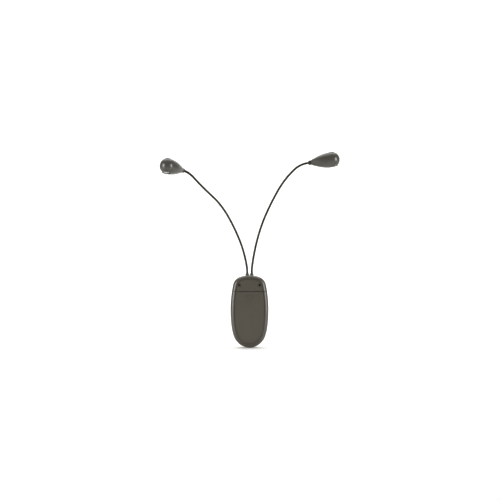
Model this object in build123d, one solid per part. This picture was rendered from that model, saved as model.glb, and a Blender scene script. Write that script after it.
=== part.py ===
# Clip-on reading lamp with two gooseneck heads. Millimetres, +Z up, battery door towards -Y, clip towards +Y.
# The origin is the middle of the fixed jaw pad's gripping face.
import os
from math import acos, asin, cos, degrees, radians, sin, sqrt, tan

from build123d import *

os.makedirs("parts", exist_ok=True)

# housing
BOTTOM_Z = -16.0
OUTLINE = [(22.0, 69.0), (54.0, 13.0), (168.0, 19.5), (14.0, 60.0)]  # tangent arcs up one side: radius, turn
DOOR_SIDE_Y = -19.6
CLIP_SIDE_Y = -1.0
SPLIT_Y = -9.0  # where the two housing halves meet
DOOR_SIDE_ROUND = 5.5
CLIP_SIDE_ROUND = 3.0
WALL = 1.8
DOOR_SIDE_WALL = 2.2  # leaves 1.2 behind the recessed panel
PANEL_INSET = 4.6
PANEL_DEPTH = 1.0

# battery door
DOOR_TOP_Z = 58.1
DOOR_DEPTH_Y = -13.5
SEAM = (0.9, 0.7)  # width and depth of the groove between the door's top and the panel above
HOOK_WAY_Z = 5.0  # below this the housing's wall is cut away for the door's hooks
GAP = 0.3  # between bodies that move apart
ARROW = (12.4, 10.5, 52.8)  # width, height, top edge

# cells and their tray
CELL_R = 5.25
CELL_LENGTH = 43.7
CELL_PITCH = 10.8
CELL_Y = -11.6
TRAY_X = 17.8
TRAY_Z = (-1.6, 49.4)
TRAY_WALL = 1.2
TRAY_FLOOR_Y = -6.2

# screws
TOP_SCREWS = [(-13.4, 66.5), (13.4, 66.5)]
LOW_SCREWS = [(-9.0, -9.0), (9.0, -9.0)]

# clip
PIN_Y, PIN_Z = 7.0, 44.0
PIN_R = 1.25
PLATE = 2.4
LEVER_BOTTOM_Z = -12.0

# goosenecks
NECK_R = 1.7
NECK_BORE = 0.8
NECK_X = 3.0
NECK_TOP_Z = 79.4
GROMMET_H = 2.5
NECK_FOOT_Z = 64.0
CUP_GAP = 0.06
CUP_START = 1.35  # how far past a joint the next piece of neck begins
TILT = 7.7  # how far the neck end of a head drops towards its lens
# arcs of each neck from the housing to the head: length, lean outwards, lean towards the door side
LEFT_ARCS = [(11.5, 10, 2), (35, 22, 7), (35, 30, 10), (35, 48, 19), (35, 42, 30)]
RIGHT_ARCS = [(12.5, 8, 1), (35, 15, 6), (35, 24, 12), (35, 30, 13), (36, 48, 26)]
LAST_ARC = 20.0
HEAD_YAW = {"left": 52.0, "right": 0.0}  # how far each head points towards the door side

# heads, about the middle of the round end
HEAD_R = 10.2
HEAD_WALL = 1.4
TAPER_R = 54.0
TAPER_D = 20.0
SMALL_END_D = 27.0
COLLAR_LENGTH = 4.0
COLLAR_R = 3.2
SHELL_SPLIT = -3.0
LENS_TILT = 12.0
LENS_R = 5.2
LENS_FLANGE = (6.0, 6.6, 7.2)  # radius, inner and outer face
LENS_TOP = 8.95
LENS_CROWN_R = 16.0
BEZEL_R = 6.1
BEZEL_TOP = 9.3
BUTTON_PROUD = 0.35


def save(node, *shapes):
    solids = [s for shape in shapes for s in shape.solids()]
    whole = solids[0] if len(solids) == 1 else Compound(children=solids)
    export_step(whole, f"parts/{node}.step")


def block(x0, x1, y0, y1, z0, z1):
    middle = Pos((x0 + x1) / 2, (y0 + y1) / 2, (z0 + z1) / 2)
    return middle * Box(x1 - x0, y1 - y0, z1 - z0)


def rod(start, end, radius):
    a = Vector(*start)
    b = Vector(*end)
    base = Plane(origin=a, z_dir=b - a)
    return base * Cylinder(radius, (b - a).length, align=(Align.CENTER, Align.CENTER, Align.MIN))


def tube(start, end, outer, inner):
    return rod(start, end, outer) - rod(start, end, inner)


# ---- housing ----

def outline_arcs():
    arcs = []
    cx = 0.0
    cz = BOTTOM_Z + OUTLINE[0][0]
    heading = 0.0
    for i, (radius, turn) in enumerate(OUTLINE):
        arcs.append((cx, cz, radius, heading, heading + turn))
        heading += turn
        if i + 1 < len(OUTLINE):
            following = OUTLINE[i + 1][0]
        else:
            following = radius + cx / sin(radians(heading))
        cx += (radius - following) * sin(radians(heading))
        cz -= (radius - following) * cos(radians(heading))
    arcs.append((0.0, cz, following, heading, 180.0))
    return arcs


def outline_face(inset, y):
    arcs = outline_arcs()

    def at(arc, heading, side):
        r = arc[2] - inset
        return (side * (arc[0] + r * sin(radians(heading))), y, arc[1] - r * cos(radians(heading)))

    bottom = arcs[0]
    top = arcs[-1]
    edges = [ThreePointArc(at(bottom, bottom[4], -1), at(bottom, 0, 1), at(bottom, bottom[4], 1))]
    for arc in arcs[1:-1]:
        edges.append(ThreePointArc(at(arc, arc[3], 1), at(arc, (arc[3] + arc[4]) / 2, 1), at(arc, arc[4], 1)))
    edges.append(ThreePointArc(at(top, top[3], 1), at(top, 180, 1), at(top, top[3], -1)))
    for arc in reversed(arcs[1:-1]):
        edges.append(ThreePointArc(at(arc, arc[4], -1), at(arc, (arc[3] + arc[4]) / 2, -1), at(arc, arc[3], -1)))
    return Face(Wire(edges))


def slab(inset, y0, y1):
    return extrude(outline_face(inset, y0), amount=y1 - y0, dir=(0, 1, 0))


def round_ends(solid, low_radius, high_radius):
    low = solid.faces().sort_by(Axis.Y)[0].edges()
    solid = fillet(low, low_radius)
    high = solid.faces().sort_by(Axis.Y)[-1].edges()
    return fillet(high, high_radius)


skin = round_ends(slab(0, DOOR_SIDE_Y, CLIP_SIDE_Y), DOOR_SIDE_ROUND, CLIP_SIDE_ROUND)
inner_y = (DOOR_SIDE_Y + DOOR_SIDE_WALL, CLIP_SIDE_Y - WALL)
cavity = round_ends(slab(WALL, *inner_y), DOOR_SIDE_ROUND - WALL, 1.4)
clear = GAP + 0.1
room = slab(WALL + clear, inner_y[0] + clear, CLIP_SIDE_Y)  # what the tray may fill without touching the door
room = round_ends(room, DOOR_SIDE_ROUND - WALL - clear, 1.0)
panel_cut = slab(PANEL_INSET, DOOR_SIDE_Y - 1, DOOR_SIDE_Y + PANEL_DEPTH)
seam_width, seam_depth = SEAM
seam_cut = block(-30, 30, DOOR_SIDE_Y - 1, DOOR_SIDE_Y + PANEL_DEPTH + seam_depth,
                 DOOR_TOP_Z - seam_width / 2, DOOR_TOP_Z + seam_width / 2)
shell = skin - cavity - panel_cut - seam_cut

door_zone = block(-30, 30, -30, DOOR_DEPTH_Y - GAP / 2, -30, DOOR_TOP_Z - GAP / 2)
door_clearance = block(-30, 30, -30, DOOR_DEPTH_Y + GAP / 2, -30, DOOR_TOP_Z + GAP / 2)
half_wall = WALL / 2
inside = slab(half_wall, DOOR_SIDE_Y + half_wall, CLIP_SIDE_Y - half_wall)
inside = round_ends(inside, DOOR_SIDE_ROUND - half_wall, CLIP_SIDE_ROUND - half_wall)

# battery-side half with the cell tray
rear = (shell & block(-30, 30, -30, SPLIT_Y, -30, 100)) - door_clearance
tray_back_y = DOOR_DEPTH_Y + GAP / 2
tray = block(-TRAY_X, TRAY_X, TRAY_FLOOR_Y, TRAY_FLOOR_Y + TRAY_WALL, TRAY_Z[0] - 1.4, TRAY_Z[1] + 1.4)
for side in (-1, 1):
    x0, x1 = sorted((side * (TRAY_X - TRAY_WALL), side * TRAY_X))
    tray += block(x0, x1, -14.6, TRAY_FLOOR_Y, TRAY_Z[0] - 1.4, TRAY_Z[1] + 1.4)
    lo, hi = sorted((side * TRAY_X, side * (TRAY_X + 1.2)))
    tray += block(lo, hi, -14.6, -13.7, HOOK_WAY_Z + 0.4, TRAY_Z[1] + 1.4)  # ledge that the door hooks run behind
    fill = side * (CELL_PITCH / 2)
    tray += block(fill - 0.5, fill + 0.5, -8.4, TRAY_FLOOR_Y, TRAY_Z[0], TRAY_Z[1])
for z0 in (TRAY_Z[0] - 1.4, TRAY_Z[1]):
    tray += inside & block(-30, 30, tray_back_y, SPLIT_Y, z0, z0 + 1.4)
    tray += slab(WALL + 0.1, SPLIT_Y, TRAY_FLOOR_Y + TRAY_WALL) & block(-30, 30, -30, 0, z0, z0 + 1.4)
    tray += room & block(-TRAY_X, TRAY_X, -16.2, TRAY_FLOOR_Y, z0, z0 + 1.4)
step_z = DOOR_TOP_Z + GAP / 2
tray += inside & block(-30, 30, tray_back_y, tray_back_y + 1.2, TRAY_Z[1], step_z + 1.5)
tray += inside & block(-30, 30, -17.8, tray_back_y + 1.2, step_z, step_z + 1.5)
tray += inside & block(-30, 30, tray_back_y, tray_back_y + 1.2, -30, TRAY_Z[0])
rear += tray
for x, z in TOP_SCREWS:
    rear += rod((x, DOOR_SIDE_Y + PANEL_DEPTH + 0.4, z), (x, -12.9, z), 2.7)
    rear -= rod((x, -20, z), (x, -14.4, z), 1.8)
    rear -= rod((x, -20, z), (x, -12, z), 1.0)
for x, z in LOW_SCREWS:
    rear -= rod((x, -15, z), (x, -12, z), 1.0)
for side in (-1, 1):
    x0, x1 = sorted((side * 17.95, side * 20.7))
    rear -= block(x0, x1, -14, -12.3, -20, HOOK_WAY_Z)

# clip-side half
front = shell & block(-30, 30, SPLIT_Y, 5, -30, 100)
for x, z in TOP_SCREWS:
    front += rod((x, -12.8, z), (x, inner_y[1] + 0.5, z), 2.7)
    front -= rod((x, -14, z), (x, -4, z), 0.92)
for x, z in LOW_SCREWS:
    front += rod((x, tray_back_y + 1.25, z), (x, inner_y[1] + 0.5, z), 2.5)
    front -= rod((x, -14, z), (x, -4, z), 0.92)
for side in (-1, 1):
    x0, x1 = sorted((side * 8.5, side * 11.0))
    foot = block(x0, x1, CLIP_SIDE_Y - 1.2, 2.0, PIN_Z - 6, PIN_Z + 4.5)
    lug_outline = Polyline((0.0, PIN_Z - 6), (PIN_Y - 1.2, PIN_Z - 3.0), (PIN_Y - 1.2, PIN_Z + 3.0),
                           (0.0, PIN_Z + 4.5), close=True)
    lug = extrude(Plane.YZ * make_face(lug_outline), amount=x1 - x0, dir=(1, 0, 0))
    front += foot + Pos(x0, 0, 0) * lug + rod((x0, PIN_Y, PIN_Z), (x1, PIN_Y, PIN_Z), 3.2)
    front -= rod((x0 - 1, PIN_Y, PIN_Z), (x1 + 1, PIN_Y, PIN_Z), PIN_R)

# holes for the necks, half in each shell
for side in (-1, 1):
    hole = rod((side * NECK_X, SPLIT_Y, 60), (side * NECK_X, SPLIT_Y, 90), NECK_R + 0.05)
    rear -= hole
    front -= hole

# battery door with hooks that run behind the tray's ledges
door = shell & door_zone
for side in (-1, 1):
    for z0 in (14.0, 34.0):
        x0, x1 = sorted((side * 19.4, side * 20.4))
        door += block(x0, x1, DOOR_SIDE_Y + 1.2, -12.6, z0, z0 + 12)
        x0, x1 = sorted((side * 18.15, side * 20.4))
        door += block(x0, x1, -13.4, -12.6, z0, z0 + 12)
arrow_w, arrow_h, arrow_z = ARROW
arrow = Polyline((-arrow_w / 2, arrow_z), (arrow_w / 2, arrow_z), (0, arrow_z - arrow_h), close=True)
panel_y = DOOR_SIDE_Y + PANEL_DEPTH
arrow_cut = extrude(Plane.XZ * make_face(arrow), amount=4, both=True)
door -= Pos(0, panel_y - 3.6, 0) * arrow_cut

save("battery_side_housing", rear)
save("clip_side_housing", front)
save("battery_door", door)


# ---- cells, contacts, screws, electronics ----

mid_z = (TRAY_Z[0] + TRAY_Z[1]) / 2
springs = []
plates = []
for i, name in enumerate(("left", "middle", "right")):
    x = (i - 1) * CELL_PITCH
    flip = -1 if name == "middle" else 1
    foot_z = mid_z - flip * 20.8
    cell = rod((x, CELL_Y, foot_z), (x, CELL_Y, foot_z + flip * CELL_LENGTH), CELL_R)
    cell = chamfer(cell.edges().filter_by(GeomType.CIRCLE), 0.4)
    head_z = foot_z + flip * CELL_LENGTH
    cell += rod((x, CELL_Y, head_z - flip * 0.2), (x, CELL_Y, head_z + flip * 0.8), 1.9)
    save(f"cell_{name}", cell)
    with BuildSketch(Plane.XZ) as wire:
        for k in range(4):
            with Locations((2.0 + 0.35 * k, -(0.55 + 0.9 * k))):
                Circle(0.5)
    coil = revolve(wire.sketch, axis=Axis.Z)
    coil = (Rotation(180, 0, 0) if flip < 0 else Rotation(0, 0, 0)) * coil
    springs.append(Pos(x, CELL_Y, foot_z) * coil)
    for z0, z1 in ((TRAY_Z[0], TRAY_Z[0] + 0.4), (TRAY_Z[1] - 0.4, TRAY_Z[1])):
        plates.append(block(x - 4.2, x + 4.2, CELL_Y - 3.8, TRAY_FLOOR_Y - 0.4, z0, z1))
save("contact_springs", *springs)
save("contact_plates", *plates)

screws = []
for x, z in TOP_SCREWS:
    screws.append(rod((x, -15.6, z), (x, -14.4, z), 1.5) + rod((x, -14.5, z), (x, -4.5, z), 0.9))
for x, z in LOW_SCREWS:
    screws.append(rod((x, tray_back_y - 1.2, z), (x, tray_back_y, z), 1.7)
                  + rod((x, tray_back_y - 0.1, z), (x, -4.5, z), 0.9))
slotted = []
for (x, z), top_y, screw in zip(TOP_SCREWS + LOW_SCREWS, (-15.6, -15.6, -14.55, -14.55), screws):
    cross = block(x - 0.9, x + 0.9, top_y - 0.1, top_y + 0.6, z - 0.18, z + 0.18)
    cross += block(x - 0.18, x + 0.18, top_y - 0.1, top_y + 0.6, z - 0.9, z + 0.9)
    slotted.append(screw - cross)
save("housing_screws", *slotted)

board = block(-10.2, 10.2, -4.6, -3.2, 53.0, 75.0)
save("driver_board", board)
parts_on_board = [
    block(-7.5, -2.5, -6.1, -4.6, 55.5, 59.5),
    block(1.5, 4.5, -5.8, -4.6, 55.0, 58.0),
    block(6.2, 8.0, -5.6, -4.6, 55.5, 59.5),
    rod((-6.5, -4.6, 64.0), (-6.5, -5.3, 64.0), 1.0),
    rod((6.5, -4.6, 64.0), (6.5, -5.3, 64.0), 1.0),
]
save("board_components", *parts_on_board)

# necks clamped between the halves: ferrules in a block, and grommets on top
clamp = block(-7.0, 7.0, -12.4, -5.9, 66.0, 72.0)
clamp = fillet(clamp.edges().filter_by(Axis.Z), 1.5)
ferrules = []
grommets = []
for side in (-1, 1):
    x = side * NECK_X
    clamp -= rod((x, SPLIT_Y, 60), (x, SPLIT_Y, 80), 2.3)
    ferrules.append(tube((x, SPLIT_Y, 65.0), (x, SPLIT_Y, 73.0), 2.3, NECK_R))
    collar = Polyline((NECK_R, 0), (2.6, 0), (2.6, 0.9), (2.1, GROMMET_H), (NECK_R, GROMMET_H), close=True)
    ring = revolve(Plane.XZ * make_face(collar), axis=Axis.Z)
    lip = tube((0, 0, -0.05), (0, 0, 0.05), 2.6, NECK_R)
    seated = Pos(x, SPLIT_Y, NECK_TOP_Z) * (ring + lip) - skin
    grommets.append(seated)
save("neck_clamp", clamp)
save("neck_ferrules", *ferrules)
save("neck_grommets", *grommets)

leads = []
for side in (-1, 1):
    bends = [(side * 6.5, -5.3, 64.0), (side * 6.5, -7.6, 64.0), (side * 6.5, -7.6, 61.5),
             (side * NECK_X, SPLIT_Y, 61.5), (side * NECK_X, SPLIT_Y, 64.0)]
    lead = None
    for a, b in zip(bends, bends[1:]):
        piece = rod(a, b, 0.6) + Pos(*b) * Sphere(0.6)
        lead = piece if lead is None else lead + piece
    leads.append(lead - rod(bends[-1], (bends[-1][0], SPLIT_Y, 66.0), 1.0))
save("neck_leads", *leads)


# ---- clip ----

def spine_plate(points, thickness, half_width):
    """Plate of even thickness whose inner face follows the points (y, z)."""
    inner = list(points)
    outer = []
    for i, (y, z) in enumerate(points):
        before = points[max(i - 1, 0)]
        after = points[min(i + 1, len(points) - 1)]
        run = Vector(after[0] - before[0], after[1] - before[1]).normalized()
        outer.append((y + run.Y * thickness, z - run.X * thickness))
    outline = Polyline(*inner, *reversed(outer), close=True)
    face = Plane.YZ * make_face(outline)
    return extrude(face, amount=half_width, both=True, dir=(1, 0, 0))


lever_line = [(2.3, LEVER_BOTTOM_Z), (2.3, 12.0), (3.0, 17.0), (9.3, 34.0), (10.8, 40.0), (11.4, 46.0),
              (13.2, 54.0), (18.4, 70.0)]
lever = spine_plate(lever_line, PLATE, 20.0)
lever_outline = Plane.XZ * (Pos(0, 30) * SlotOverall(86, 29, rotation=90))
lever &= extrude(lever_outline, amount=60, both=True)
for side in (-1, 1):
    x0, x1 = sorted((side * (11.0 + GAP), side * 13.9))
    cheek = Polyline((PIN_Y - 2.4, PIN_Z - 2.0), (9.0, 31.0), (11.5, 36.0), (12.0, 47.0), (14.0, 53.0),
                     (12.0, 54.0), (PIN_Y - 1.6, PIN_Z + 2.6), close=True)
    lever += Pos(x0, 0, 0) * extrude(Plane.YZ * make_face(cheek), amount=x1 - x0, dir=(1, 0, 0))
    lever += rod((x0, PIN_Y, PIN_Z), (x1, PIN_Y, PIN_Z), 3.2)
    lever -= rod((x0 - 1, PIN_Y, PIN_Z), (x1 + 1, PIN_Y, PIN_Z), PIN_R + 0.05)
save("clip_lever", lever)

pin = rod((-14.6, PIN_Y, PIN_Z), (14.6, PIN_Y, PIN_Z), PIN_R)
for side in (-1, 1):
    pin += rod((side * 14.2, PIN_Y, PIN_Z), (side * 14.9, PIN_Y, PIN_Z), 1.9)
save("hinge_pin", pin)

# torsion spring: rings side by side round the pin, one leg on the housing and one under the handle
with BuildSketch(Plane.XZ) as rings:
    for k in range(13):
        with Locations((2.3, -5.4 + 0.9 * k)):
            Circle(0.5)
coil = revolve(rings.sketch, axis=Axis.Z)
coil = Pos(0, PIN_Y, PIN_Z) * Rotation(0, 90, 0) * coil
spring = coil
spring += rod((-5.4, PIN_Y - 2.3, PIN_Z), (-5.4, -0.45, 60.0), 0.5)
spring += Pos(-5.4, -0.45, 60.0) * Sphere(0.5)
spring += rod((5.4, PIN_Y + 2.3, PIN_Z), (5.4, 14.3, 60.0), 0.5)
spring += Pos(5.4, 14.3, 60.0) * Sphere(0.5)
save("clip_spring", spring)


def ribbed_pad(y0, y1, ribs_to):
    pad = block(-8, 8, y0, y1, -10, 10)
    pad = fillet(pad.edges().filter_by(Axis.Y), 3.0)
    for k in range(-3, 4):
        pad -= block(-20, 20, ribs_to - 0.35, ribs_to + 0.35, k * 2.6 - 0.45, k * 2.6 + 0.45)
    return pad


save("fixed_jaw_pad", ribbed_pad(CLIP_SIDE_Y, 0.0, 0.0))
save("moving_jaw_pad", ribbed_pad(GAP, 2.3, GAP))

grip = []
for k in range(6):
    z = 57.0 + 2.1 * k
    y = 13.2 + (z - 54.0) * (18.4 - 13.2) / 16.0 + 2.4
    rib = rod((-7 + 0.3 * k, y, z), (7 - 0.3 * k, y, z), 0.7)
    grip.append(rib - lever)
save("finger_grip", *grip)


# ---- goosenecks ----

def heading(side, out, lean):
    a = radians(out)
    b = radians(lean)
    return Vector(side * sin(a) * cos(b), -sin(b), cos(a) * cos(b))


class Arc:
    def __init__(self, start, t0, t1, length):
        self.start = start
        self.t0 = t0
        self.t1 = t1
        self.turn = acos(max(-1.0, min(1.0, t0.dot(t1))))
        self.length = length
        self.radius = length / self.turn
        self.inward = (t1 - t0 * t0.dot(t1)).normalized()
        self.axis = t0.cross(self.inward)

    def point(self, s):
        q = s / self.radius
        return self.start + self.t0 * (self.radius * sin(q)) + self.inward * (self.radius * (1 - cos(q)))

    def tangent(self, s):
        q = s / self.radius
        return self.t0 * cos(q) + self.inward * sin(q)

    def pipe(self, s0, s1):
        """Tube along this arc, from s0 to s1 along it."""
        section = Plane(origin=self.point(s0), z_dir=self.tangent(s0)) * (Circle(NECK_R) - Circle(NECK_BORE))
        centre = self.start + self.inward * self.radius
        return revolve(section, axis=Axis(centre, self.axis), revolution_arc=degrees((s1 - s0) / self.radius))


def neck_arcs(name, spec):
    side = -1 if name == "left" else 1
    yaw = radians(HEAD_YAW[name])
    flat = cos(radians(TILT))
    to_tip = Vector(side * cos(yaw) * flat, -sin(yaw) * flat, sin(radians(TILT)))
    at = Vector(side * NECK_X, SPLIT_Y, NECK_TOP_Z + GROMMET_H)
    t = Vector(0, 0, 1)
    ends = [(length, heading(side, out, lean)) for length, out, lean in spec] + [(LAST_ARC, to_tip)]
    arcs = []
    for length, t1 in ends:
        arcs.append(Arc(at, t, t1, length))
        at = arcs[-1].point(length)
        t = t1
    return arcs


def dome(arc):
    half_ball = Sphere(NECK_R - 0.03, arc_size1=0) - Cylinder(NECK_BORE + 0.02, 10)
    return Plane(origin=arc.point(arc.length), z_dir=arc.t1) * half_ball


def cup(arc):
    return Plane(origin=arc.start, z_dir=arc.t0) * Sphere(NECK_R + CUP_GAP)


NECKS = {"left": neck_arcs("left", LEFT_ARCS), "right": neck_arcs("right", RIGHT_ARCS)}
for name, arcs in NECKS.items():
    first = arcs[0]
    foot = (first.start.X, first.start.Y, NECK_FOOT_Z)
    root = tube(foot, tuple(first.start), NECK_R, NECK_BORE) + first.pipe(0, first.length) + dome(first)
    save(f"{name}_neck_root", root)
    for k, arc in enumerate(arcs[1:-1], 1):
        piece = arc.pipe(CUP_START, arc.length) - cup(arc) + dome(arc)
        save(f"{name}_neck_{k}", piece)
    for k, arc in enumerate(arcs[1:], 1):
        print(name, "joint", k, [round(c, 3) for c in arc.start], "along", [round(c, 4) for c in arc.t0])


# ---- heads, built about the round end: local +X to the tip, +Z away from the lens ----

to_neck = Vector(-cos(radians(TILT)), 0, -sin(radians(TILT)))
to_lens = Vector(sin(radians(LENS_TILT)), 0, -cos(radians(LENS_TILT)))
shank_frame = Plane(origin=(0, 0, 0), x_dir=to_neck, z_dir=Vector(0, -1, 0))
lens_frame = Plane(origin=(0, 0, 0), x_dir=Vector(0, 1, 0), z_dir=to_lens)


def egg(inset, end_d):
    """Head shape shrunk by inset: a ball that tapers in a long arc, then straight, towards the neck."""
    r = HEAD_R - inset
    big = TAPER_R - inset
    drop = TAPER_R - HEAD_R
    lean = asin(TAPER_D / TAPER_R)
    knee = (big * sin(lean), big * cos(lean) - drop)
    middle = (big * sin(lean / 2), big * cos(lean / 2) - drop)
    end = (end_d, knee[1] - (end_d - knee[0]) * tan(lean))
    ball = ThreePointArc((-r, 0), (-r * sqrt(0.5), r * sqrt(0.5)), (0, r))
    side = ThreePointArc((0, r), middle, knee)
    rest = Polyline(knee, end, (end_d, 0), (-r, 0))
    profile = shank_frame * make_face([ball, side, *rest.edges()])
    return revolve(profile, axis=Axis((0, 0, 0), to_neck))


def disc(radius, low, high):
    """Round plate square to the lens axis, low to high measured out from the middle."""
    return rod(tuple(to_lens * low), tuple(to_lens * high), radius)


outer = egg(0, SMALL_END_D)
hollow = egg(HEAD_WALL, SMALL_END_D - 3.0)
neck_hole = rod(tuple(to_neck * 15), tuple(to_neck * 40), NECK_R)
head_shell = outer - hollow - neck_hole
above = block(-40, 40, -40, 40, SHELL_SPLIT, 40)
below = block(-40, 40, -40, 40, -40, SHELL_SPLIT)

oval_at = Plane(origin=(-1, 0, 0), x_dir=(1, 0, 0), z_dir=(0, 0, 1))
back_shell = (head_shell & above) - extrude(oval_at * Ellipse(4.0 + GAP, 3.0 + GAP), amount=20)
flange_r, flange_in, flange_out = LENS_FLANGE
bezel = disc(BEZEL_R, flange_in, BEZEL_TOP)
bezel = fillet(bezel.edges().filter_by(GeomType.CIRCLE), 0.45)
lens_seat = disc(LENS_R, 3, 20) + disc(flange_r + 0.03, 3, flange_out + 0.03)
front_shell = (head_shell + bezel - lens_seat) & below
boss = (rod((-16, 0, SHELL_SPLIT), (-16, 0, 8), 1.8) & outer) - rod((-16, 0, -5), (-16, 0, 3), 0.72)
back_shell += boss
front_shell += rod((-16, 0, -12), (-16, 0, SHELL_SPLIT), 2.4) & outer
front_shell -= rod((-16, 0, -20), (-16, 0, -6.6), 1.5)
front_shell -= rod((-16, 0, -20), (-16, 0, 0), 0.75)
head_screw = rod((-16, 0, -7.6), (-16, 0, -6.6), 1.4) + rod((-16, 0, -6.7), (-16, 0, 2.5), 0.7)
head_screw -= block(-16.9, -15.1, -0.15, 0.15, -7.7, -7.1) + block(-16.15, -15.85, -0.9, 0.9, -7.7, -7.1)

crown = Pos(*(to_lens * (LENS_TOP - LENS_CROWN_R))) * Sphere(LENS_CROWN_R)
lens = (disc(LENS_R - 0.05, flange_in, BEZEL_TOP) & crown) + disc(*LENS_FLANGE)

led_board = disc(6.4, 2.6, 3.6)
leds = []
for dy in (-1.7, 1.7):
    chip = Pos(0, dy, 4.0) * Box(2.4, 2.0, 0.8)
    bulge = (Pos(0, dy, 4.0) * Sphere(1.1)) & (Pos(0, dy, 5.4) * Box(4, 4, 2))
    leds.append(lens_frame * (chip + bulge))
bowl_profile = Polyline((3.4, 3.7), (5.7, 6.2), (5.7, 5.7), (3.9, 3.6), (3.4, 3.6), close=True)
bowl = lens_frame * revolve(Plane.XZ * make_face(bowl_profile), axis=Axis.Z)

switch_board = Pos(0.5, 0, 0.4) * Cylinder(7.6, 1.0)
switch = Pos(-1, 0, 2.65) * Box(6.0, 6.0, 3.5) + rod((-1, 0, 4.3), (-1, 0, 5.1), 1.6)
button = extrude(oval_at * Ellipse(4.0, 3.0), amount=14) & block(-20, 20, -20, 20, 6.0, 20)
button &= Sphere(HEAD_R + BUTTON_PROUD)
button += extrude(oval_at * Ellipse(4.7, 3.7), amount=6.8) & block(-20, 20, -20, 20, 6.0, 20)

collar = rod(tuple(to_neck * (SMALL_END_D + 0.05)), tuple(to_neck * (SMALL_END_D + COLLAR_LENGTH)), COLLAR_R)
collar = fillet(collar.edges().filter_by(GeomType.CIRCLE), 1.1)
collar -= neck_hole

HEAD_PIECES = {
    "back_shell": [back_shell],
    "front_shell": [front_shell],
    "lens": [lens],
    "led_board": [led_board],
    "leds": leds,
    "reflector": [bowl],
    "switch": [switch_board + switch],
    "button": [button],
    "collar": [collar],
    "screw": [head_screw],
}

for name, arcs in NECKS.items():
    last = arcs[-1]
    axis = last.t1
    flat = Vector(axis.X, axis.Y, 0).normalized()
    neck_end = last.point(last.length)
    centre = neck_end + axis * (SMALL_END_D + COLLAR_LENGTH)
    seat = Plane(origin=centre, x_dir=flat, z_dir=Vector(0, 0, 1))
    for node, solids in HEAD_PIECES.items():
        save(f"{name}_{node}", *[seat * s for s in solids])
    tail = neck_end + axis * (COLLAR_LENGTH + 5.0)
    tip = last.pipe(CUP_START, last.length) - cup(last) + tube(tuple(neck_end), tuple(tail), NECK_R, NECK_BORE)
    save(f"{name}_neck_tip", tip)
    print(name, "head centre", [round(c, 3) for c in centre], "towards the tip", [round(c, 4) for c in flat])
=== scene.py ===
import math

import bmesh
import bpy
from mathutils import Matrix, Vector


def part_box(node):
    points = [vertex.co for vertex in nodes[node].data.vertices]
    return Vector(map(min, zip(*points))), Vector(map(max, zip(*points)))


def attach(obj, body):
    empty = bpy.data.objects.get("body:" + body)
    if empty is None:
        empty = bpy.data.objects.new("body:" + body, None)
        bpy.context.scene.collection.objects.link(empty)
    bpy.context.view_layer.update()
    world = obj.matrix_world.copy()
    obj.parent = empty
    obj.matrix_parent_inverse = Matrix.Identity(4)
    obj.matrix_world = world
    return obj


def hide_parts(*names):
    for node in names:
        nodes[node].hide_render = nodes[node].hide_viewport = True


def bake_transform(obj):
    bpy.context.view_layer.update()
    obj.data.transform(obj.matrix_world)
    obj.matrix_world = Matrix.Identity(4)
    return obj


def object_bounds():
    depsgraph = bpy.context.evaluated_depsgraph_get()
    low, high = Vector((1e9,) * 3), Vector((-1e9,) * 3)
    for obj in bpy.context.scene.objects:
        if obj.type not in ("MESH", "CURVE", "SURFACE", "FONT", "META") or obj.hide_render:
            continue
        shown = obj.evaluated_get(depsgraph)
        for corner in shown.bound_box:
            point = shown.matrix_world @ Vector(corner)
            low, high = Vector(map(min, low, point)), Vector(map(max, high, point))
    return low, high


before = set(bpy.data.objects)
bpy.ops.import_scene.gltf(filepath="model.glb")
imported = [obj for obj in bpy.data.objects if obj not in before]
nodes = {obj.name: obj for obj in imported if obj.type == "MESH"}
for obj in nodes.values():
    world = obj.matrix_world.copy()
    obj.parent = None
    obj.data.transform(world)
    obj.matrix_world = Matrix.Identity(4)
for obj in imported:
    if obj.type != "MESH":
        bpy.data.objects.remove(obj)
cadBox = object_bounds()
mm = 0.001


def hexColour(code):  # sRGB hex to the linear colour that sockets take
    def linear(c):
        return c / 12.92 if c <= 0.04045 else ((c + 0.055) / 1.055) ** 2.4
    return tuple(linear(int(code[i:i + 2], 16) / 255) for i in (1, 3, 5)) + (1.0,)


def addNode(tree, kind, links=None, **settings):
    node = tree.nodes.new(kind)
    for name, value in settings.items():
        setattr(node, name, value)
    for name, value in (links or {}).items():
        if isinstance(value, bpy.types.NodeSocket):
            tree.links.new(value, node.inputs[name])
        else:
            node.inputs[name].default_value = value
    return node


def newMaterial(name):
    material = bpy.data.materials.new(name)
    material.use_nodes = True
    tree = material.node_tree
    tree.nodes.clear()
    shader = addNode(tree, "ShaderNodeBsdfPrincipled")
    addNode(tree, "ShaderNodeOutputMaterial", {"Surface": shader.outputs[0]})
    where = addNode(tree, "ShaderNodeTexCoord").outputs["Object"]
    return material, tree, shader, where


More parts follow.
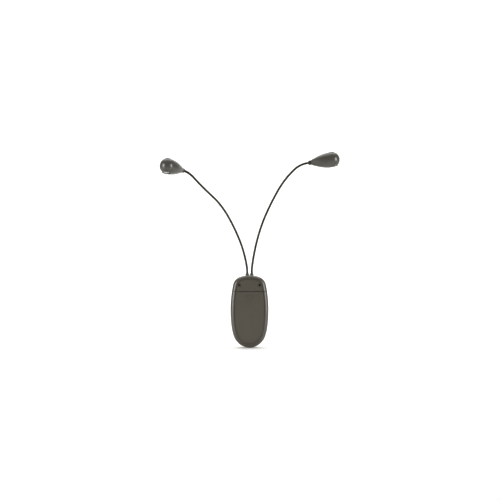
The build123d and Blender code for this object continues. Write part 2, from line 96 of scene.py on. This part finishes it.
# Injection-moulded ABS from a spark-eroded tool: an even body colour with a faint cloudy flow in it,
# and a soft gloss that the fine grain breaks up. The real grain is about 0.1 mm; it is drawn at "grain"
# mm, coarse enough to show. The housing also gets painted shade, darker in its corners and along its seam.
plastics = {
    "housing": {
        "colour": "#39342a", "darker": "#343026", "grain": 0.35, "rough": (0.26, 0.36), "bump": 0.18,
        # painted shade: the colour that corners and the seam darken towards
        "paintedShade": "#16140f",
        "seamHeight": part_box("battery_door")[1].z,
        "seamReach": 0.75,  # mm of painted shade above and below the seam
        "cornerReach": 2.5,  # mm from a corner that still counts as one
        "openness": (0.95, 0.72),  # how open a spot is where the painted shade starts, and where it is darkest
        "deepestShade": 0.85,
    },
    "head": {
        "colour": "#33312a", "darker": "#2e2c26", "grain": 0.3, "rough": (0.28, 0.36), "bump": 0.1,
    },
    "clip": {
        "colour": "#383226", "darker": "#332d22", "grain": 0.4, "rough": (0.36, 0.48), "bump": 0.25,
    },
    "button": {
        "colour": "#312f28", "darker": "#2c2a24", "grain": 0.3, "rough": (0.38, 0.46), "bump": 0.15,
    },
}
cloudSize = 22  # mm across one cloud of the moulding's flow


def mouldedAbs(name, look):
    material, tree, shader, where = newMaterial(name)
    grain = addNode(tree, "ShaderNodeTexNoise", {"Vector": where, "Scale": 1 / (look["grain"] * mm),
                                                 "Detail": 3.0})
    cloud = addNode(tree, "ShaderNodeTexNoise", {"Vector": where, "Scale": 1 / (cloudSize * mm),
                                                 "Detail": 2.0})
    tone = addNode(tree, "ShaderNodeMix", {0: cloud.outputs["Fac"], 6: hexColour(look["colour"]),
                                           7: hexColour(look["darker"])}, data_type="RGBA")
    gloss = addNode(tree, "ShaderNodeMapRange", {"Value": grain.outputs["Fac"], "To Min": look["rough"][0],
                                                 "To Max": look["rough"][1]})
    bump = addNode(tree, "ShaderNodeBump", {"Height": grain.outputs["Fac"], "Strength": look["bump"],
                                            "Distance": 0.03 * mm})
    colour = tone.outputs[2]
    # Painted shade: ambient occlusion darkens corners and recesses, and a band darkens the seam.
    if "paintedShade" in look:
        corners = addNode(tree, "ShaderNodeAmbientOcclusion", {"Distance": look["cornerReach"] * mm},
                          samples=12, only_local=True)
        inCorner = addNode(tree, "ShaderNodeMapRange", {"Value": corners.outputs["AO"],
                                                        "From Min": look["openness"][0],
                                                        "From Max": look["openness"][1],
                                                        "To Max": look["deepestShade"]})
        height = addNode(tree, "ShaderNodeSeparateXYZ", {"Vector": where}).outputs["Z"]
        apart = addNode(tree, "ShaderNodeMath", {0: height, 1: look["seamHeight"]}, operation="SUBTRACT")
        away = addNode(tree, "ShaderNodeMath", {0: apart.outputs[0]}, operation="ABSOLUTE")
        inSeam = addNode(tree, "ShaderNodeMapRange", {"Value": away.outputs[0],
                                                      "From Min": look["seamReach"] * mm,
                                                      "From Max": 0.5 * look["seamReach"] * mm})
        shadeAmount = addNode(tree, "ShaderNodeMath", {0: inCorner.outputs[0], 1: inSeam.outputs[0]},
                        operation="MAXIMUM")
        colour = addNode(tree, "ShaderNodeMix", {0: shadeAmount.outputs[0], 6: colour, 7: hexColour(look["paintedShade"])},
                         data_type="RGBA").outputs[2]
    tree.links.new(colour, shader.inputs["Base Color"])
    tree.links.new(gloss.outputs[0], shader.inputs["Roughness"])
    tree.links.new(bump.outputs[0], shader.inputs["Normal"])
    shader.inputs["IOR"].default_value = 1.53
    return material


housingAbs = mouldedAbs("moulded ABS, warm graphite", plastics["housing"])
headAbs = mouldedAbs("polished ABS, warm graphite", plastics["head"])
clipAbs = mouldedAbs("moulded ABS, coarse texture", plastics["clip"])
buttonAbs = mouldedAbs("moulded ABS, push button", plastics["button"])

# Drawn, turned or plated metal: streaks in the gloss and a slightly uneven tone.
metals = {
    "gooseneck": {"colour": "#3a3833", "rough": (0.42, 0.56), "grain": 0.5, "edge": "#5c5a55"},
    "steel": {"colour": "#a9a8a4", "rough": (0.2, 0.34), "grain": 0.3},
    "blacked": {"colour": "#35322e", "rough": (0.34, 0.5), "grain": 0.3},
    "nickel": {"colour": "#c2bdb2", "rough": (0.14, 0.24), "grain": 0.4},
    "collar": {"colour": "#3b3934", "rough": (0.3, 0.42), "grain": 0.3},
}


def drawnMetal(name, look):
    material, tree, shader, where = newMaterial(name)
    streaks = addNode(tree, "ShaderNodeTexNoise", {"Vector": where, "Scale": 1 / (look["grain"] * mm),
                                                   "Detail": 4.0, "Distortion": 0.4})
    base = hexColour(look["colour"])
    dull = tuple(c * 0.8 for c in base[:3]) + (1.0,)
    tone = addNode(tree, "ShaderNodeMix", {0: streaks.outputs["Fac"], 6: base, 7: dull},
                   data_type="RGBA")
    gloss = addNode(tree, "ShaderNodeMapRange", {"Value": streaks.outputs["Fac"], "To Min": look["rough"][0],
                                                 "To Max": look["rough"][1]})
    tree.links.new(tone.outputs[2], shader.inputs["Base Color"])
    tree.links.new(gloss.outputs[0], shader.inputs["Roughness"])
    shader.inputs["Metallic"].default_value = 1.0
    if "edge" in look:  # a dull plating hardly brightens at a glancing angle
        shader.inputs["Specular Tint"].default_value = hexColour(look["edge"])
    return material


gooseneckSteel = drawnMetal("wound steel wire, black nickel plated", metals["gooseneck"])
springSteel = drawnMetal("drawn spring steel", metals["steel"])
screwSteel = drawnMetal("blacked steel screw", metals["blacked"])
nickelPlate = drawnMetal("nickel plate", metals["nickel"])
collarMetal = drawnMetal("turned collar, dark nickel", metals["collar"])


lensLook = {"tint": "#c4c8c6", "haze": 1.5, "rough": (0.02, 0.06), "ior": 1.58}


# Clear polycarbonate from a polished tool: glassy, hardly tinted, with a faint haze.
def clearPolycarbonate():
    material, tree, shader, where = newMaterial("clear polycarbonate")
    haze = addNode(tree, "ShaderNodeTexNoise", {"Vector": where, "Scale": 1 / (lensLook["haze"] * mm),
                                                "Detail": 2.0})
    gloss = addNode(tree, "ShaderNodeMapRange", {"Value": haze.outputs["Fac"], "To Min": lensLook["rough"][0],
                                                 "To Max": lensLook["rough"][1]})
    tree.links.new(gloss.outputs[0], shader.inputs["Roughness"])
    shader.inputs["Base Color"].default_value = hexColour(lensLook["tint"])
    shader.inputs["IOR"].default_value = lensLook["ior"]
    shader.inputs["Transmission Weight"].default_value = 1.0
    return material


bowlLook = {"colour": "#9c9a95", "rough": 0.3, "peel": 0.8, "bump": 0.15}


# Plastic bowl with vacuum-deposited aluminium over a satin texture: a soft grey mirror with orange peel.
def metallisedBowl():
    material, tree, shader, where = newMaterial("vacuum-metallised reflector, satin")
    peel = addNode(tree, "ShaderNodeTexNoise", {"Vector": where, "Scale": 1 / (bowlLook["peel"] * mm),
                                                "Detail": 2.0})
    bump = addNode(tree, "ShaderNodeBump", {"Height": peel.outputs["Fac"], "Strength": bowlLook["bump"],
                                            "Distance": 0.05 * mm})
    tree.links.new(bump.outputs[0], shader.inputs["Normal"])
    shader.inputs["Base Color"].default_value = hexColour(bowlLook["colour"])
    shader.inputs["Metallic"].default_value = 1.0
    shader.inputs["Roughness"].default_value = bowlLook["rough"]
    return material


phosphorLook = {"colours": ("#f2e27a", "#e8cf52"), "mottle": 0.4, "rough": 0.3, "ior": 1.41}


# White LED: yellow silicone phosphor, mottled and waxy.
def ledPhosphor():
    material, tree, shader, where = newMaterial("LED phosphor")
    mottle = addNode(tree, "ShaderNodeTexNoise", {"Vector": where, "Detail": 3.0,
                                                  "Scale": 1 / (phosphorLook["mottle"] * mm)})
    pale, deep = phosphorLook["colours"]
    tone = addNode(tree, "ShaderNodeMix", {0: mottle.outputs["Fac"], 6: hexColour(pale), 7: hexColour(deep)},
                   data_type="RGBA")
    tree.links.new(tone.outputs[2], shader.inputs["Base Color"])
    shader.inputs["Roughness"].default_value = phosphorLook["rough"]
    shader.inputs["IOR"].default_value = phosphorLook["ior"]
    return material


rubberLook = {"colours": ("#1d1c1b", "#2b2a28"), "grain": 0.4, "bump": 0.4, "rough": 0.72, "sheen": 0.15}


# Moulded rubber pad: matt, with a dusty sheen and a fine grain.
def padRubber():
    material, tree, shader, where = newMaterial("moulded black rubber")
    grain = addNode(tree, "ShaderNodeTexNoise", {"Vector": where, "Scale": 1 / (rubberLook["grain"] * mm),
                                                 "Detail": 4.0})
    low, high = rubberLook["colours"]
    tone = addNode(tree, "ShaderNodeMix", {0: grain.outputs["Fac"], 6: hexColour(low), 7: hexColour(high)},
                   data_type="RGBA")
    bump = addNode(tree, "ShaderNodeBump", {"Height": grain.outputs["Fac"], "Strength": rubberLook["bump"],
                                            "Distance": 0.05 * mm})
    tree.links.new(tone.outputs[2], shader.inputs["Base Color"])
    tree.links.new(bump.outputs[0], shader.inputs["Normal"])
    shader.inputs["Roughness"].default_value = rubberLook["rough"]
    shader.inputs["Sheen Weight"].default_value = rubberLook["sheen"]
    return material


maskLook = {"tracks": 6, "width": 0.03, "mask": ("#1f5a33", "#226038"), "copper": "#3f8a50", "rough": 0.32}


# Printed circuit board: green solder mask, with the copper under it showing as lighter lines.
def solderMask():
    material, tree, shader, where = newMaterial("green solder mask")
    tracks = addNode(tree, "ShaderNodeTexBrick", {"Vector": where, "Scale": 1 / (maskLook["tracks"] * mm),
                                                  "Mortar Size": maskLook["width"],
                                                  "Color1": hexColour(maskLook["mask"][0]),
                                                  "Color2": hexColour(maskLook["mask"][1]),
                                                  "Mortar": hexColour(maskLook["copper"])})
    tree.links.new(tracks.outputs["Color"], shader.inputs["Base Color"])
    shader.inputs["Roughness"].default_value = maskLook["rough"]
    return material


# Moulded epoxy or nylon: nearly black and matt, with a dry grain.
def blackMoulding(name, low, high):
    material, tree, shader, where = newMaterial(name)
    grain = addNode(tree, "ShaderNodeTexNoise", {"Vector": where, "Scale": 1 / (0.3 * mm), "Detail": 3.0})
    tone = addNode(tree, "ShaderNodeMix", {0: grain.outputs["Fac"], 6: hexColour(low), 7: hexColour(high)},
                   data_type="RGBA")
    tree.links.new(tone.outputs[2], shader.inputs["Base Color"])
    shader.inputs["Roughness"].default_value = 0.5
    return material


sleeveLook = {
    "steel": "#b9b6ae", "sleeve": "#3b3d40", "band": "#a8763d",
    "foot": 0.015, "bandStart": 0.72, "tip": 0.97,  # shares of the cell's length, from its minus end
    "wrap": 3, "rough": (0.18, 0.3), "metallic": 0.55,
}


# Shrink sleeve on a cell: dark grey with a copper-toned band at the plus end, bare steel at both ends.
def cellSleeve(name, low, high, plusUp):
    material, tree, shader, where = newMaterial(name)
    height = addNode(tree, "ShaderNodeSeparateXYZ", {"Vector": where}).outputs["Z"]
    along = addNode(tree, "ShaderNodeMapRange", {"Value": height, "From Min": low if plusUp else high,
                                                 "From Max": high if plusUp else low})
    tone = addNode(tree, "ShaderNodeValToRGB", {"Fac": along.outputs[0]})
    tone.color_ramp.interpolation = "CONSTANT"
    stops = tone.color_ramp.elements
    stops[0].color = hexColour(sleeveLook["steel"])
    stops[1].position, stops[1].color = sleeveLook["tip"], hexColour(sleeveLook["steel"])
    stops.new(sleeveLook["foot"]).color = hexColour(sleeveLook["sleeve"])
    stops.new(sleeveLook["bandStart"]).color = hexColour(sleeveLook["band"])
    wrap = addNode(tree, "ShaderNodeTexNoise", {"Vector": where, "Scale": 1 / (sleeveLook["wrap"] * mm),
                                                "Detail": 2.0})
    gloss = addNode(tree, "ShaderNodeMapRange", {"Value": wrap.outputs["Fac"],
                                                 "To Min": sleeveLook["rough"][0],
                                                 "To Max": sleeveLook["rough"][1]})
    tree.links.new(tone.outputs[0], shader.inputs["Base Color"])
    tree.links.new(gloss.outputs[0], shader.inputs["Roughness"])
    shader.inputs["Metallic"].default_value = sleeveLook["metallic"]
    return material


leadLook = {"left": "#191817", "right": "#9c1f1a", "rough": 0.35}


# PVC on the leads: red to the right neck and black to the left one, with a waxy gloss.
def leadPvc():
    material, tree, shader, where = newMaterial("PVC lead insulation")
    across = addNode(tree, "ShaderNodeSeparateXYZ", {"Vector": where}).outputs["X"]
    isRight = addNode(tree, "ShaderNodeMath", {0: across, 1: 0.0}, operation="GREATER_THAN").outputs[0]
    tone = addNode(tree, "ShaderNodeMix", {0: isRight, 6: hexColour(leadLook["left"]),
                                           7: hexColour(leadLook["right"])}, data_type="RGBA")
    tree.links.new(tone.outputs[2], shader.inputs["Base Color"])
    shader.inputs["Roughness"].default_value = leadLook["rough"]
    return material


print("materials made")


def paint(node, material):
    piece = nodes[node]
    piece.data.materials.clear()
    piece.data.materials.append(material)


finishes = {
    housingAbs: ["battery_side_housing", "clip_side_housing", "battery_door"],
    clipAbs: ["clip_lever", "finger_grip", "neck_grommets"],
    padRubber(): ["fixed_jaw_pad", "moving_jaw_pad"],
    springSteel: ["hinge_pin", "neck_ferrules", "left_screw", "right_screw"],
    screwSteel: ["housing_screws"],
    nickelPlate: ["contact_plates"],
    solderMask(): ["driver_board", "left_led_board", "right_led_board"],
    blackMoulding("black epoxy case", "#161615", "#22211f"): ["board_components", "left_switch",
                                                              "right_switch"],
    blackMoulding("black nylon", "#1f1f1e", "#2a2928"): ["neck_clamp"],
    headAbs: ["left_back_shell", "left_front_shell", "right_back_shell", "right_front_shell"],
    buttonAbs: ["left_button", "right_button"],
    clearPolycarbonate(): ["left_lens", "right_lens"],
    metallisedBowl(): ["left_reflector", "right_reflector"],
    ledPhosphor(): ["left_leds", "right_leds"],
    collarMetal: ["left_collar", "right_collar"],
    leadPvc(): ["neck_leads"],
}
for material, names in finishes.items():
    for node in names:
        paint(node, material)
for node in ("cell_left", "cell_middle", "cell_right"):
    low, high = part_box(node)
    paint(node, cellSleeve("printed sleeve " + node[5:], low.z, high.z, plusUp=node != "cell_middle"))
print("CAD nodes painted")


# Winds a round wire about the path it is given, and lays a plain tube inside it.
def wireTree():
    tree = bpy.data.node_groups.new("wind wire about a path", "GeometryNodeTree")
    face = tree.interface
    face.new_socket("Path", in_out="INPUT", socket_type="NodeSocketGeometry")
    for name, value in (("Pitch", 1.6 * mm), ("Winding Radius", 1.2 * mm), ("Wire Radius", 0.5 * mm),
                        ("Tube Radius", 1.3 * mm), ("From", 0.0), ("To", 1.0)):
        face.new_socket(name, in_out="INPUT", socket_type="NodeSocketFloat").default_value = value
    for name, value in (("Steps Per Turn", 12), ("Wire Sides", 8), ("Tube Sides", 16)):
        face.new_socket(name, in_out="INPUT", socket_type="NodeSocketInt").default_value = value
    face.new_socket("Material", in_out="INPUT", socket_type="NodeSocketMaterial")
    face.new_socket("Mesh", in_out="OUTPUT", socket_type="NodeSocketGeometry")
    given = addNode(tree, "NodeGroupInput").outputs

    step = addNode(tree, "ShaderNodeMath", {0: given["Pitch"], 1: given["Steps Per Turn"]},
                   operation="DIVIDE")
    fine = addNode(tree, "GeometryNodeResampleCurve", {"Curve": given["Path"], "Length": step.outputs[0]},
                   mode="LENGTH")
    run = addNode(tree, "GeometryNodeSplineParameter").outputs["Length"]
    turns = addNode(tree, "ShaderNodeMath", {0: run, 1: given["Pitch"]}, operation="DIVIDE").outputs[0]
    angle = addNode(tree, "ShaderNodeMath", {0: turns, 1: math.tau}, operation="MULTIPLY").outputs[0]
    normal = addNode(tree, "GeometryNodeInputNormal").outputs["Normal"]
    tangent = addNode(tree, "GeometryNodeInputTangent").outputs["Tangent"]
    out = addNode(tree, "ShaderNodeVectorRotate", {"Vector": normal, "Axis": tangent, "Angle": angle})
    offset = addNode(tree, "ShaderNodeVectorMath", {0: out.outputs[0], "Scale": given["Winding Radius"]},
                     operation="SCALE")
    wound = addNode(tree, "GeometryNodeSetPosition", {"Geometry": fine.outputs[0],
                                                      "Offset": offset.outputs[0]})

    made = []
    for line, radius, sides in ((wound.outputs[0], given["Wire Radius"], given["Wire Sides"]),
                                (fine.outputs[0], given["Tube Radius"], given["Tube Sides"])):
        piece = addNode(tree, "GeometryNodeTrimCurve", {"Curve": line}, mode="FACTOR")
        tree.links.new(given["From"], piece.inputs[2])
        tree.links.new(given["To"], piece.inputs[3])
        ring = addNode(tree, "GeometryNodeCurvePrimitiveCircle", {"Resolution": sides, "Radius": radius})
        swept = addNode(tree, "GeometryNodeCurveToMesh", {"Curve": piece.outputs[0],
                                                          "Profile Curve": ring.outputs[0],
                                                          "Fill Caps": True})
        made.append(addNode(tree, "GeometryNodeSetShadeSmooth", {"Geometry": swept.outputs[0]}).outputs[0])
    both = addNode(tree, "GeometryNodeJoinGeometry")
    for mesh in made:
        tree.links.new(mesh, both.inputs[0])
    real = addNode(tree, "GeometryNodeRealizeInstances", {"Geometry": both.outputs[0]})
    dressed = addNode(tree, "GeometryNodeSetMaterial", {"Geometry": real.outputs[0],
                                                        "Material": given["Material"]})
    addNode(tree, "NodeGroupOutput", {"Mesh": dressed.outputs[0]})
    return tree


windWire = wireTree()


def pathCurve(name, points):
    line = bpy.data.curves.new(name + " path", "CURVE")
    line.dimensions = "3D"
    spline = line.splines.new("POLY")
    spline.points.add(len(points) - 1)
    for spot, point in zip(spline.points, points):
        spot.co = (*point, 1.0)
    piece = bpy.data.objects.new(name + " path", line)
    bpy.context.scene.collection.objects.link(piece)
    return piece


def woundPiece(name, points, sizes, material):  # one plain mesh from the wire tree
    source = pathCurve(name, points)
    winding = source.modifiers.new("wound wire", "NODES")
    winding.node_group = windWire
    items = windWire.interface.items_tree
    sockets = {item.name: item.identifier for item in items if item.in_out == "INPUT"}
    for label, value in {**sizes, "Material": material}.items():
        winding[sockets[label]] = value
    bpy.context.view_layer.update()
    ready = source.evaluated_get(bpy.context.evaluated_depsgraph_get())
    mesh = bpy.data.meshes.new_from_object(ready)
    mesh.name = name
    piece = bpy.data.objects.new(name, mesh)
    bpy.context.scene.collection.objects.link(piece)
    bpy.data.objects.remove(source)
    return piece


# Real windings are about 1.2 mm apart; they are drawn at 2.1 mm, coarse enough to show.
neckSizes = {
    "Pitch": 2.1 * mm,
    "Winding Radius": 1.2 * mm,
    "Wire Radius": 0.65 * mm,
    "Tube Radius": 1.35 * mm,
    "Steps Per Turn": 12,
    "Wire Sides": 8,
    "Tube Sides": 14,
}
neckShape = {
    "foot": Vector((3.0, -9.0, 64.0)) * mm,  # of the right neck, inside the housing
    "top": 81.9 * mm,  # where the bending part starts
    "tail": 9.0 * mm,  # straight run into the head
    "tilt": 7.7,
    "samples": 12,
    # length, lean outwards, lean towards the door side, for each arc up to the last
    "left": [(11.5, 10, 2), (35, 22, 7), (35, 30, 10), (35, 48, 19), (35, 42, 30)],
    "right": [(12.5, 8, 1), (35, 15, 6), (35, 24, 12), (35, 30, 13), (36, 48, 26)],
    "yaw": {"left": 52.0, "right": 0.0},
    "lastArc": 20.0,
    "blendReach": 17 * mm,  # how far each side of a joint to reach, cut short halfway to the neighbouring joints
}


# Points along a neck, and each joint's place: how far along the neck, where, and which way it runs.
def neckPath(name):
    side = -1 if name == "left" else 1
    tilt, yaw = math.radians(neckShape["tilt"]), math.radians(neckShape["yaw"][name])
    ends = []
    for length, out, lean in neckShape[name]:
        a, b = math.radians(out), math.radians(lean)
        leaning = Vector((side * math.sin(a) * math.cos(b), -math.sin(b), math.cos(a) * math.cos(b)))
        ends.append((length, leaning))
    flat = math.cos(tilt)
    toTip = Vector((side * math.cos(yaw) * flat, -math.sin(yaw) * flat, math.sin(tilt)))
    ends.append((neckShape["lastArc"], toTip))
    foot = neckShape["foot"].copy()
    foot.x *= side
    at, along = Vector((foot.x, foot.y, neckShape["top"])), Vector((0, 0, 1))
    points, run, jointRuns = [foot, at], at.z - foot.z, []
    for length, following in ends:
        length *= mm
        turn = along.angle(following)
        inward = (following - along * along.dot(following)).normalized()
        radius = length / turn
        for k in range(1, neckShape["samples"] + 1):
            q = turn * k / neckShape["samples"]
            points.append(at + along * (radius * math.sin(q)) + inward * (radius * (1 - math.cos(q))))
        at, along, run = points[-1], following, run + length
        jointRuns.append((run, at, along))
    points.append(at + along * neckShape["tail"])
    return points, jointRuns[:-1], run + neckShape["tail"]


for name in ("left", "right"):
    points, bends, whole = neckPath(name)
    for k, (run, at, along) in enumerate(bends):
        before = (bends[k - 1][0] + run) / 2 if k else 0.0
        after = (run + bends[k + 1][0]) / 2 if k < 4 else whole
        piece = woundPiece(f"{name}_gooseneck_{k + 1}", points,
                           {**neckSizes, "From": before / whole, "To": after / whole}, gooseneckSteel)
        reach = neckShape["blendReach"]
        if k:
            reach = min(reach, run - before)
        if k < 4:
            reach = min(reach, after - run)
        cadNodes = [f"{name}_neck_root"] if k == 0 else [f"{name}_neck_{k}"]
        if k == 4:
            cadNodes.append(f"{name}_neck_tip")
        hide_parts(*cadNodes)
        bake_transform(piece)
print("goosenecks wound")


spring = {
    "pin": Vector((0.0, 7.0, 44.0)),
    "coilRadius": 2.3,
    "halfWidth": 5.0,
    "turns": 8,
    "stepsPerTurn": 20,
    "wire": 0.5,
    "housingLeg": Vector((-5.4, -0.45, 60.0)),
    "leverLeg": Vector((5.4, 14.2, 60.0)),
}


def plainWire(radius):
    return {"Pitch": 0.3 * mm, "Winding Radius": 0.0, "Wire Radius": radius * mm,
            "Tube Radius": radius * 0.5 * mm, "Steps Per Turn": 1, "Wire Sides": 10, "Tube Sides": 3,
            "From": 0.0, "To": 1.0}


# Coil round the hinge pin, with a leg on the housing and one under the handle.
def torsionSpring():
    pin, r, w = spring["pin"], spring["coilRadius"], spring["halfWidth"]
    steps = spring["turns"] * spring["stepsPerTurn"]
    sweep = spring["turns"] * math.tau + math.pi
    points = [spring["housingLeg"]]
    for k in range(steps + 1):
        share = k / steps
        angle = -math.pi / 2 - sweep * share
        points.append(pin + Vector((-w + 2 * w * share, r * math.sin(angle), r * math.cos(angle))))
    points.append(spring["leverLeg"])
    return [p * mm for p in points]


clipSpring = woundPiece("torsion_spring", torsionSpring(), plainWire(spring["wire"]), springSteel)
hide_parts("clip_spring")
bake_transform(clipSpring)

cone = {
    "turns": 4.5,
    "stepsPerTurn": 20,
    "flatTurns": 0.7,  # closed turns at each end
    "wire": 0.4,
    "wide": 3.2,
    "narrow": 2.0,
    "plate": 0.4,
}


# Contact spring between two heights on one cell's axis, wide end first.
def coneSpring(low, high):
    steps = int(cone["turns"] * cone["stepsPerTurn"])
    rising = cone["turns"] - 2 * cone["flatTurns"]
    points = []
    for k in range(steps + 1):
        share = k / steps
        r = (cone["wide"] + (cone["narrow"] - cone["wide"]) * share) * mm
        angle = math.tau * cone["turns"] * share
        eased = min(1.0, max(0.0, (share * cone["turns"] - cone["flatTurns"]) / rising))
        points.append(low + Vector((r * math.cos(angle), r * math.sin(angle), 0)) + (high - low) * eased)
    return points


coils = []
plateLow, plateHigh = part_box("contact_plates")
away, plate = cone["wire"] * mm, cone["plate"] * mm
for node in ("cell_left", "cell_middle", "cell_right"):
    low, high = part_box(node)
    up = node != "cell_middle"
    x, y = (low.x + high.x) / 2, (low.y + high.y) / 2
    seat = plateLow.z + plate + away if up else plateHigh.z - plate - away
    cellEnd = low.z - away if up else high.z + away
    coils.append(woundPiece("contact " + node, coneSpring(Vector((x, y, seat)), Vector((x, y, cellEnd))),
                            plainWire(cone["wire"]), nickelPlate))
with bpy.context.temp_override(active_object=coils[0], selected_editable_objects=coils, object=coils[0]):
    bpy.ops.object.join()
contactCoils = coils[0]
contactCoils.name = "contact_coils"
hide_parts("contact_springs")
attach(contactCoils, "housing")
print("springs wound")


stage = {
    "front": -3.0,
    "curveStart": 1.2,
    "curve": 0.8,
    "height": 4.0,
    "halfWidth": 5.0,
    "gap": 0.5 * mm,  # under the lamp
}


# Pale sweep: a floor that curves up into a backdrop.
def buildStage():
    mesh = bpy.data.meshes.new("sweep")
    work = bmesh.new()
    start, curve = stage["curveStart"], stage["curve"]
    line = [(stage["front"], 0.0), (start, 0.0)]
    for t in range(5, 91, 5):
        line.append((start + curve * math.sin(math.radians(t)), curve - curve * math.cos(math.radians(t))))
    line.append((start + curve, stage["height"]))
    floorHeight = cadBox[0].z - stage["gap"]
    sides = (-stage["halfWidth"], stage["halfWidth"])
    rows = [[work.verts.new((x, y, floorHeight + z)) for x in sides] for y, z in line]
    for a, b in zip(rows, rows[1:]):
        work.faces.new((a[0], a[1], b[1], b[0])).smooth = True
    work.to_mesh(mesh)
    work.free()
    sweep = bpy.data.objects.new("sweep", mesh)
    bpy.context.scene.collection.objects.link(sweep)
    material, tree, shader, where = newMaterial("matt white paper")
    shader.inputs["Base Color"].default_value = hexColour("#f4f4f2")
    shader.inputs["Roughness"].default_value = 0.9
    shader.inputs["Specular IOR Level"].default_value = 0.1
    mesh.materials.append(material)


buildStage()

lights = {
    "left box": {"at": (-1.3, -0.85, 0.3), "size": (0.35, 1.0), "power": 22},
    "right box": {"at": (1.3, -0.85, 0.3), "size": (0.35, 1.0), "power": 22},
    "top box": {"at": (0.0, -0.1, 1.8), "size": (1.6, 1.0), "power": 6},
    "backdrop wash": {"at": (0.0, 0.7, 1.9), "size": (2.6, 0.8), "power": 45},
}
for name, light in lights.items():
    lamp = bpy.data.lights.new(name, "AREA")
    lamp.shape = "RECTANGLE"
    lamp.size, lamp.size_y = light["size"]
    lamp.energy = light["power"]
    softbox = bpy.data.objects.new(name, lamp)
    softbox.location = light["at"]
    target = Vector((0, 0, 0.1)) if name != "backdrop wash" else Vector((0, 1.9, 0.4))
    softbox.rotation_euler = (target - softbox.location).to_track_quat("-Z", "Y").to_euler()
    bpy.context.scene.collection.objects.link(softbox)

surround = {"colour": "#ffffff", "strength": 0.42}
world = bpy.data.worlds.new("soft surround")
world.use_nodes = True
world.node_tree.nodes["Background"].inputs["Color"].default_value = hexColour(surround["colour"])
world.node_tree.nodes["Background"].inputs["Strength"].default_value = surround["strength"]
bpy.context.scene.world = world
bpy.context.scene.view_settings.view_transform = "Standard"

shot = {"lens": 82.1, "sensor": 36, "at": (0.66 * mm, -1519 * mm, 112.7 * mm)}  # level, door side on
camera = bpy.data.cameras.new("level camera")
camera.lens = shot["lens"]
camera.sensor_width = shot["sensor"]
view = bpy.data.objects.new("level camera", camera)
view.location = shot["at"]
view.rotation_euler = (math.radians(90), 0, 0)
bpy.context.scene.collection.objects.link(view)
bpy.context.scene.camera = view
print("stage set")
